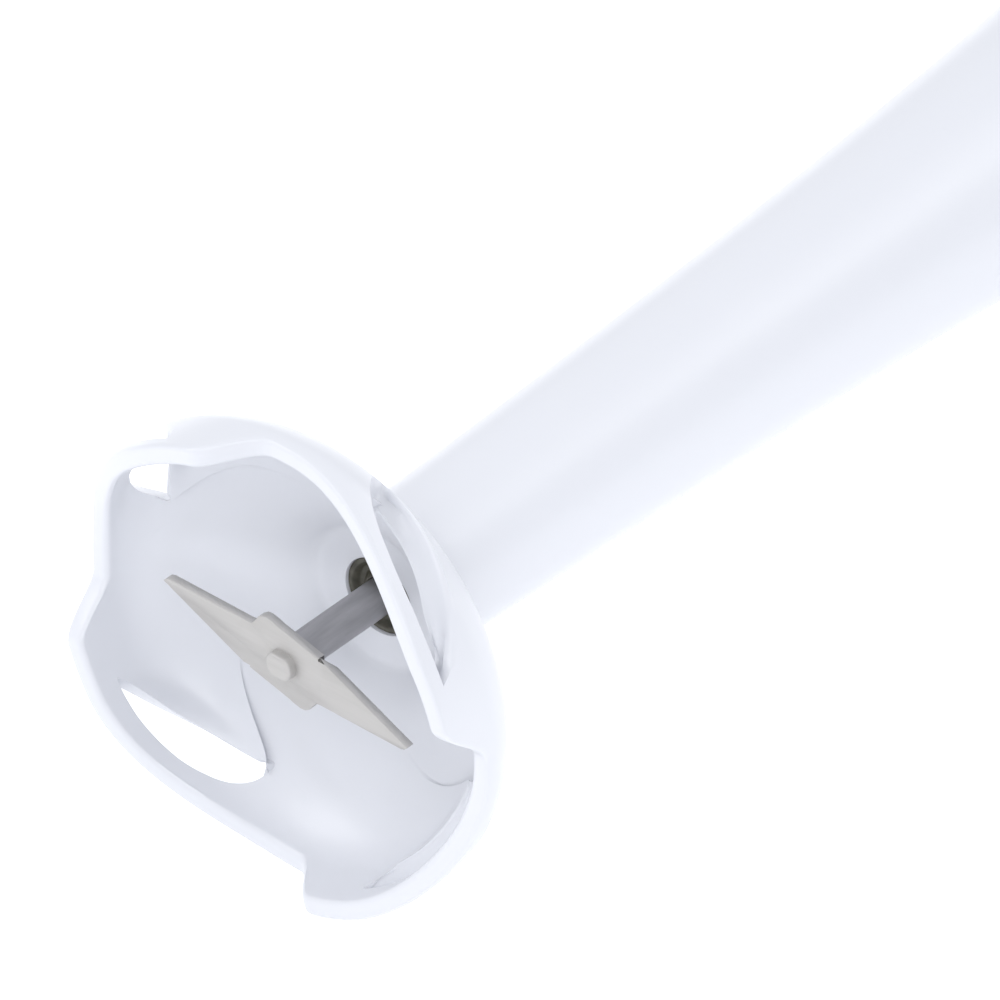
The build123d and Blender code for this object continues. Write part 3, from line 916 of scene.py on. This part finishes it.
def makeSpring(node):
    # a closed coil between the bridge and the button
    low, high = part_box(node)
    centre = (low + high) / 2
    wire = spring["wireRadius"]
    coilRadius = (high.x - low.x) / 2 - wire
    height = high.z - low.z - 2 * wire
    steps = spring["turns"] * spring["stepsPerTurn"]
    around = spring["around"]
    points = []
    for i in range(steps + 1):
        turn = math.tau * spring["turns"] * i / steps
        for k in range(around):
            lean = math.tau * k / around
            out = coilRadius + wire * math.cos(lean)
            rise = low.z + wire + height * i / steps + wire * math.sin(lean)
            points.append((centre.x + out * math.cos(turn), centre.y + out * math.sin(turn), rise))
    faces = []
    for i in range(steps):
        for k in range(around):
            ahead = (k + 1) % around
            here = i * around
            beside = here + around
            faces.append((here + k, here + ahead, beside + ahead, beside + k))
    faces.append(tuple(range(around - 1, -1, -1)))
    faces.append(tuple(steps * around + k for k in range(around)))
    obj = addMesh(node + "_coil", points, faces, [wireSteel])
    finishMesh(obj)
    shadeByAngle(obj, spring["sharpFrom"])
    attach(obj, "motor_body")
    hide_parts(node)
    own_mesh(obj)


print("winding the button springs")
makeSpring("power_spring")
makeSpring("turbo_spring")

view = {
    "azimuth": 40.5,
    "elevation": 36.5,
    "distance": 0.700,
    "reach": 5.747,  # lens length over sensor width
    "sensor": 36.0,
    "aimAcross": 0.213,
    "aimUp": 0.161,
    "near": 0.05,
    "far": 20.0,
}


def addCamera():
    turn = math.radians(view["azimuth"])
    rise = math.radians(view["elevation"])
    forward = Vector((-math.sin(turn) * math.cos(rise), math.cos(turn) * math.cos(rise), -math.sin(rise)))
    right = Vector((math.cos(turn), math.sin(turn), 0))
    up = right.cross(forward)
    focal = view["reach"]
    hub = Vector((0, bladeY, axisHeight))
    spot = hub - forward * view["distance"]
    spot += right * view["aimAcross"] / focal * view["distance"]
    spot += up * view["aimUp"] / focal * view["distance"]
    camData = bpy.data.cameras.new("camera")
    camData.lens = focal * view["sensor"]
    camData.sensor_width = view["sensor"]
    camData.clip_start = view["near"]
    camData.clip_end = view["far"]
    cam = bpy.data.objects.new("camera", camData)
    facing = Matrix((right, up, -forward)).transposed().to_4x4()
    cam.matrix_world = Matrix.Translation(spot) @ facing
    bpy.context.scene.collection.objects.link(cam)
    bpy.context.scene.camera = cam


def addLight(name, spot, target, width, height, power):
    lightData = bpy.data.lights.new(name, "AREA")
    lightData.shape = "RECTANGLE"
    lightData.size = width
    lightData.size_y = height
    lightData.energy = power
    light = bpy.data.objects.new(name, lightData)
    light.location = spot
    aim = Vector(target) - Vector(spot)
    light.rotation_euler = aim.to_track_quat("-Z", "Y").to_euler()
    bpy.context.scene.collection.objects.link(light)


floorLook = {
    "half": 3.0,
    "light": (0.93, 0.935, 0.95),
    "dark": (0.915, 0.92, 0.935),
    "glow": 0.30,
}


def addFloor():
    size = floorLook["half"]
    points = [(-size, -size, 0), (size, -size, 0), (size, size, 0), (-size, size, 0)]
    mat = plainMaterial("floor paint", floorLook["light"], floorLook["dark"], 0.85, 0.95, 3.0)
    shader = mat.node_tree.nodes["Principled BSDF"]
    shader.inputs["Emission Color"].default_value = (1, 1, 1, 1)
    shader.inputs["Emission Strength"].default_value = floorLook["glow"]
    floor = addMesh("floor", points, [(0, 1, 2, 3)], [mat])


print("setting up camera and light")
addCamera()
addFloor()
# spot, how wide, how high, watts
lights = {
    "key": ((0.72, -0.95, 0.86), 0.9, 0.9, 6.5),
    "left": ((-0.75, -0.65, 1.0), 0.8, 0.8, 6),
    "back": ((0.35, 1.0, 0.8), 0.9, 0.7, 5.5),
}
lightTarget = (0, -0.12, 0.03)
skyColour = (0.95, 0.965, 1.0, 1)
skyPower = 0.86
for name, (spot, width, height, power) in lights.items():
    addLight(name, spot, lightTarget, width, height, power)
world = bpy.data.worlds.new("studio")
bpy.context.scene.world = world
world.use_nodes = True
world.node_tree.nodes["Background"].inputs["Color"].default_value = skyColour
world.node_tree.nodes["Background"].inputs["Strength"].default_value = skyPower
bpy.context.scene.view_settings.view_transform = "Standard"

print("finishing")
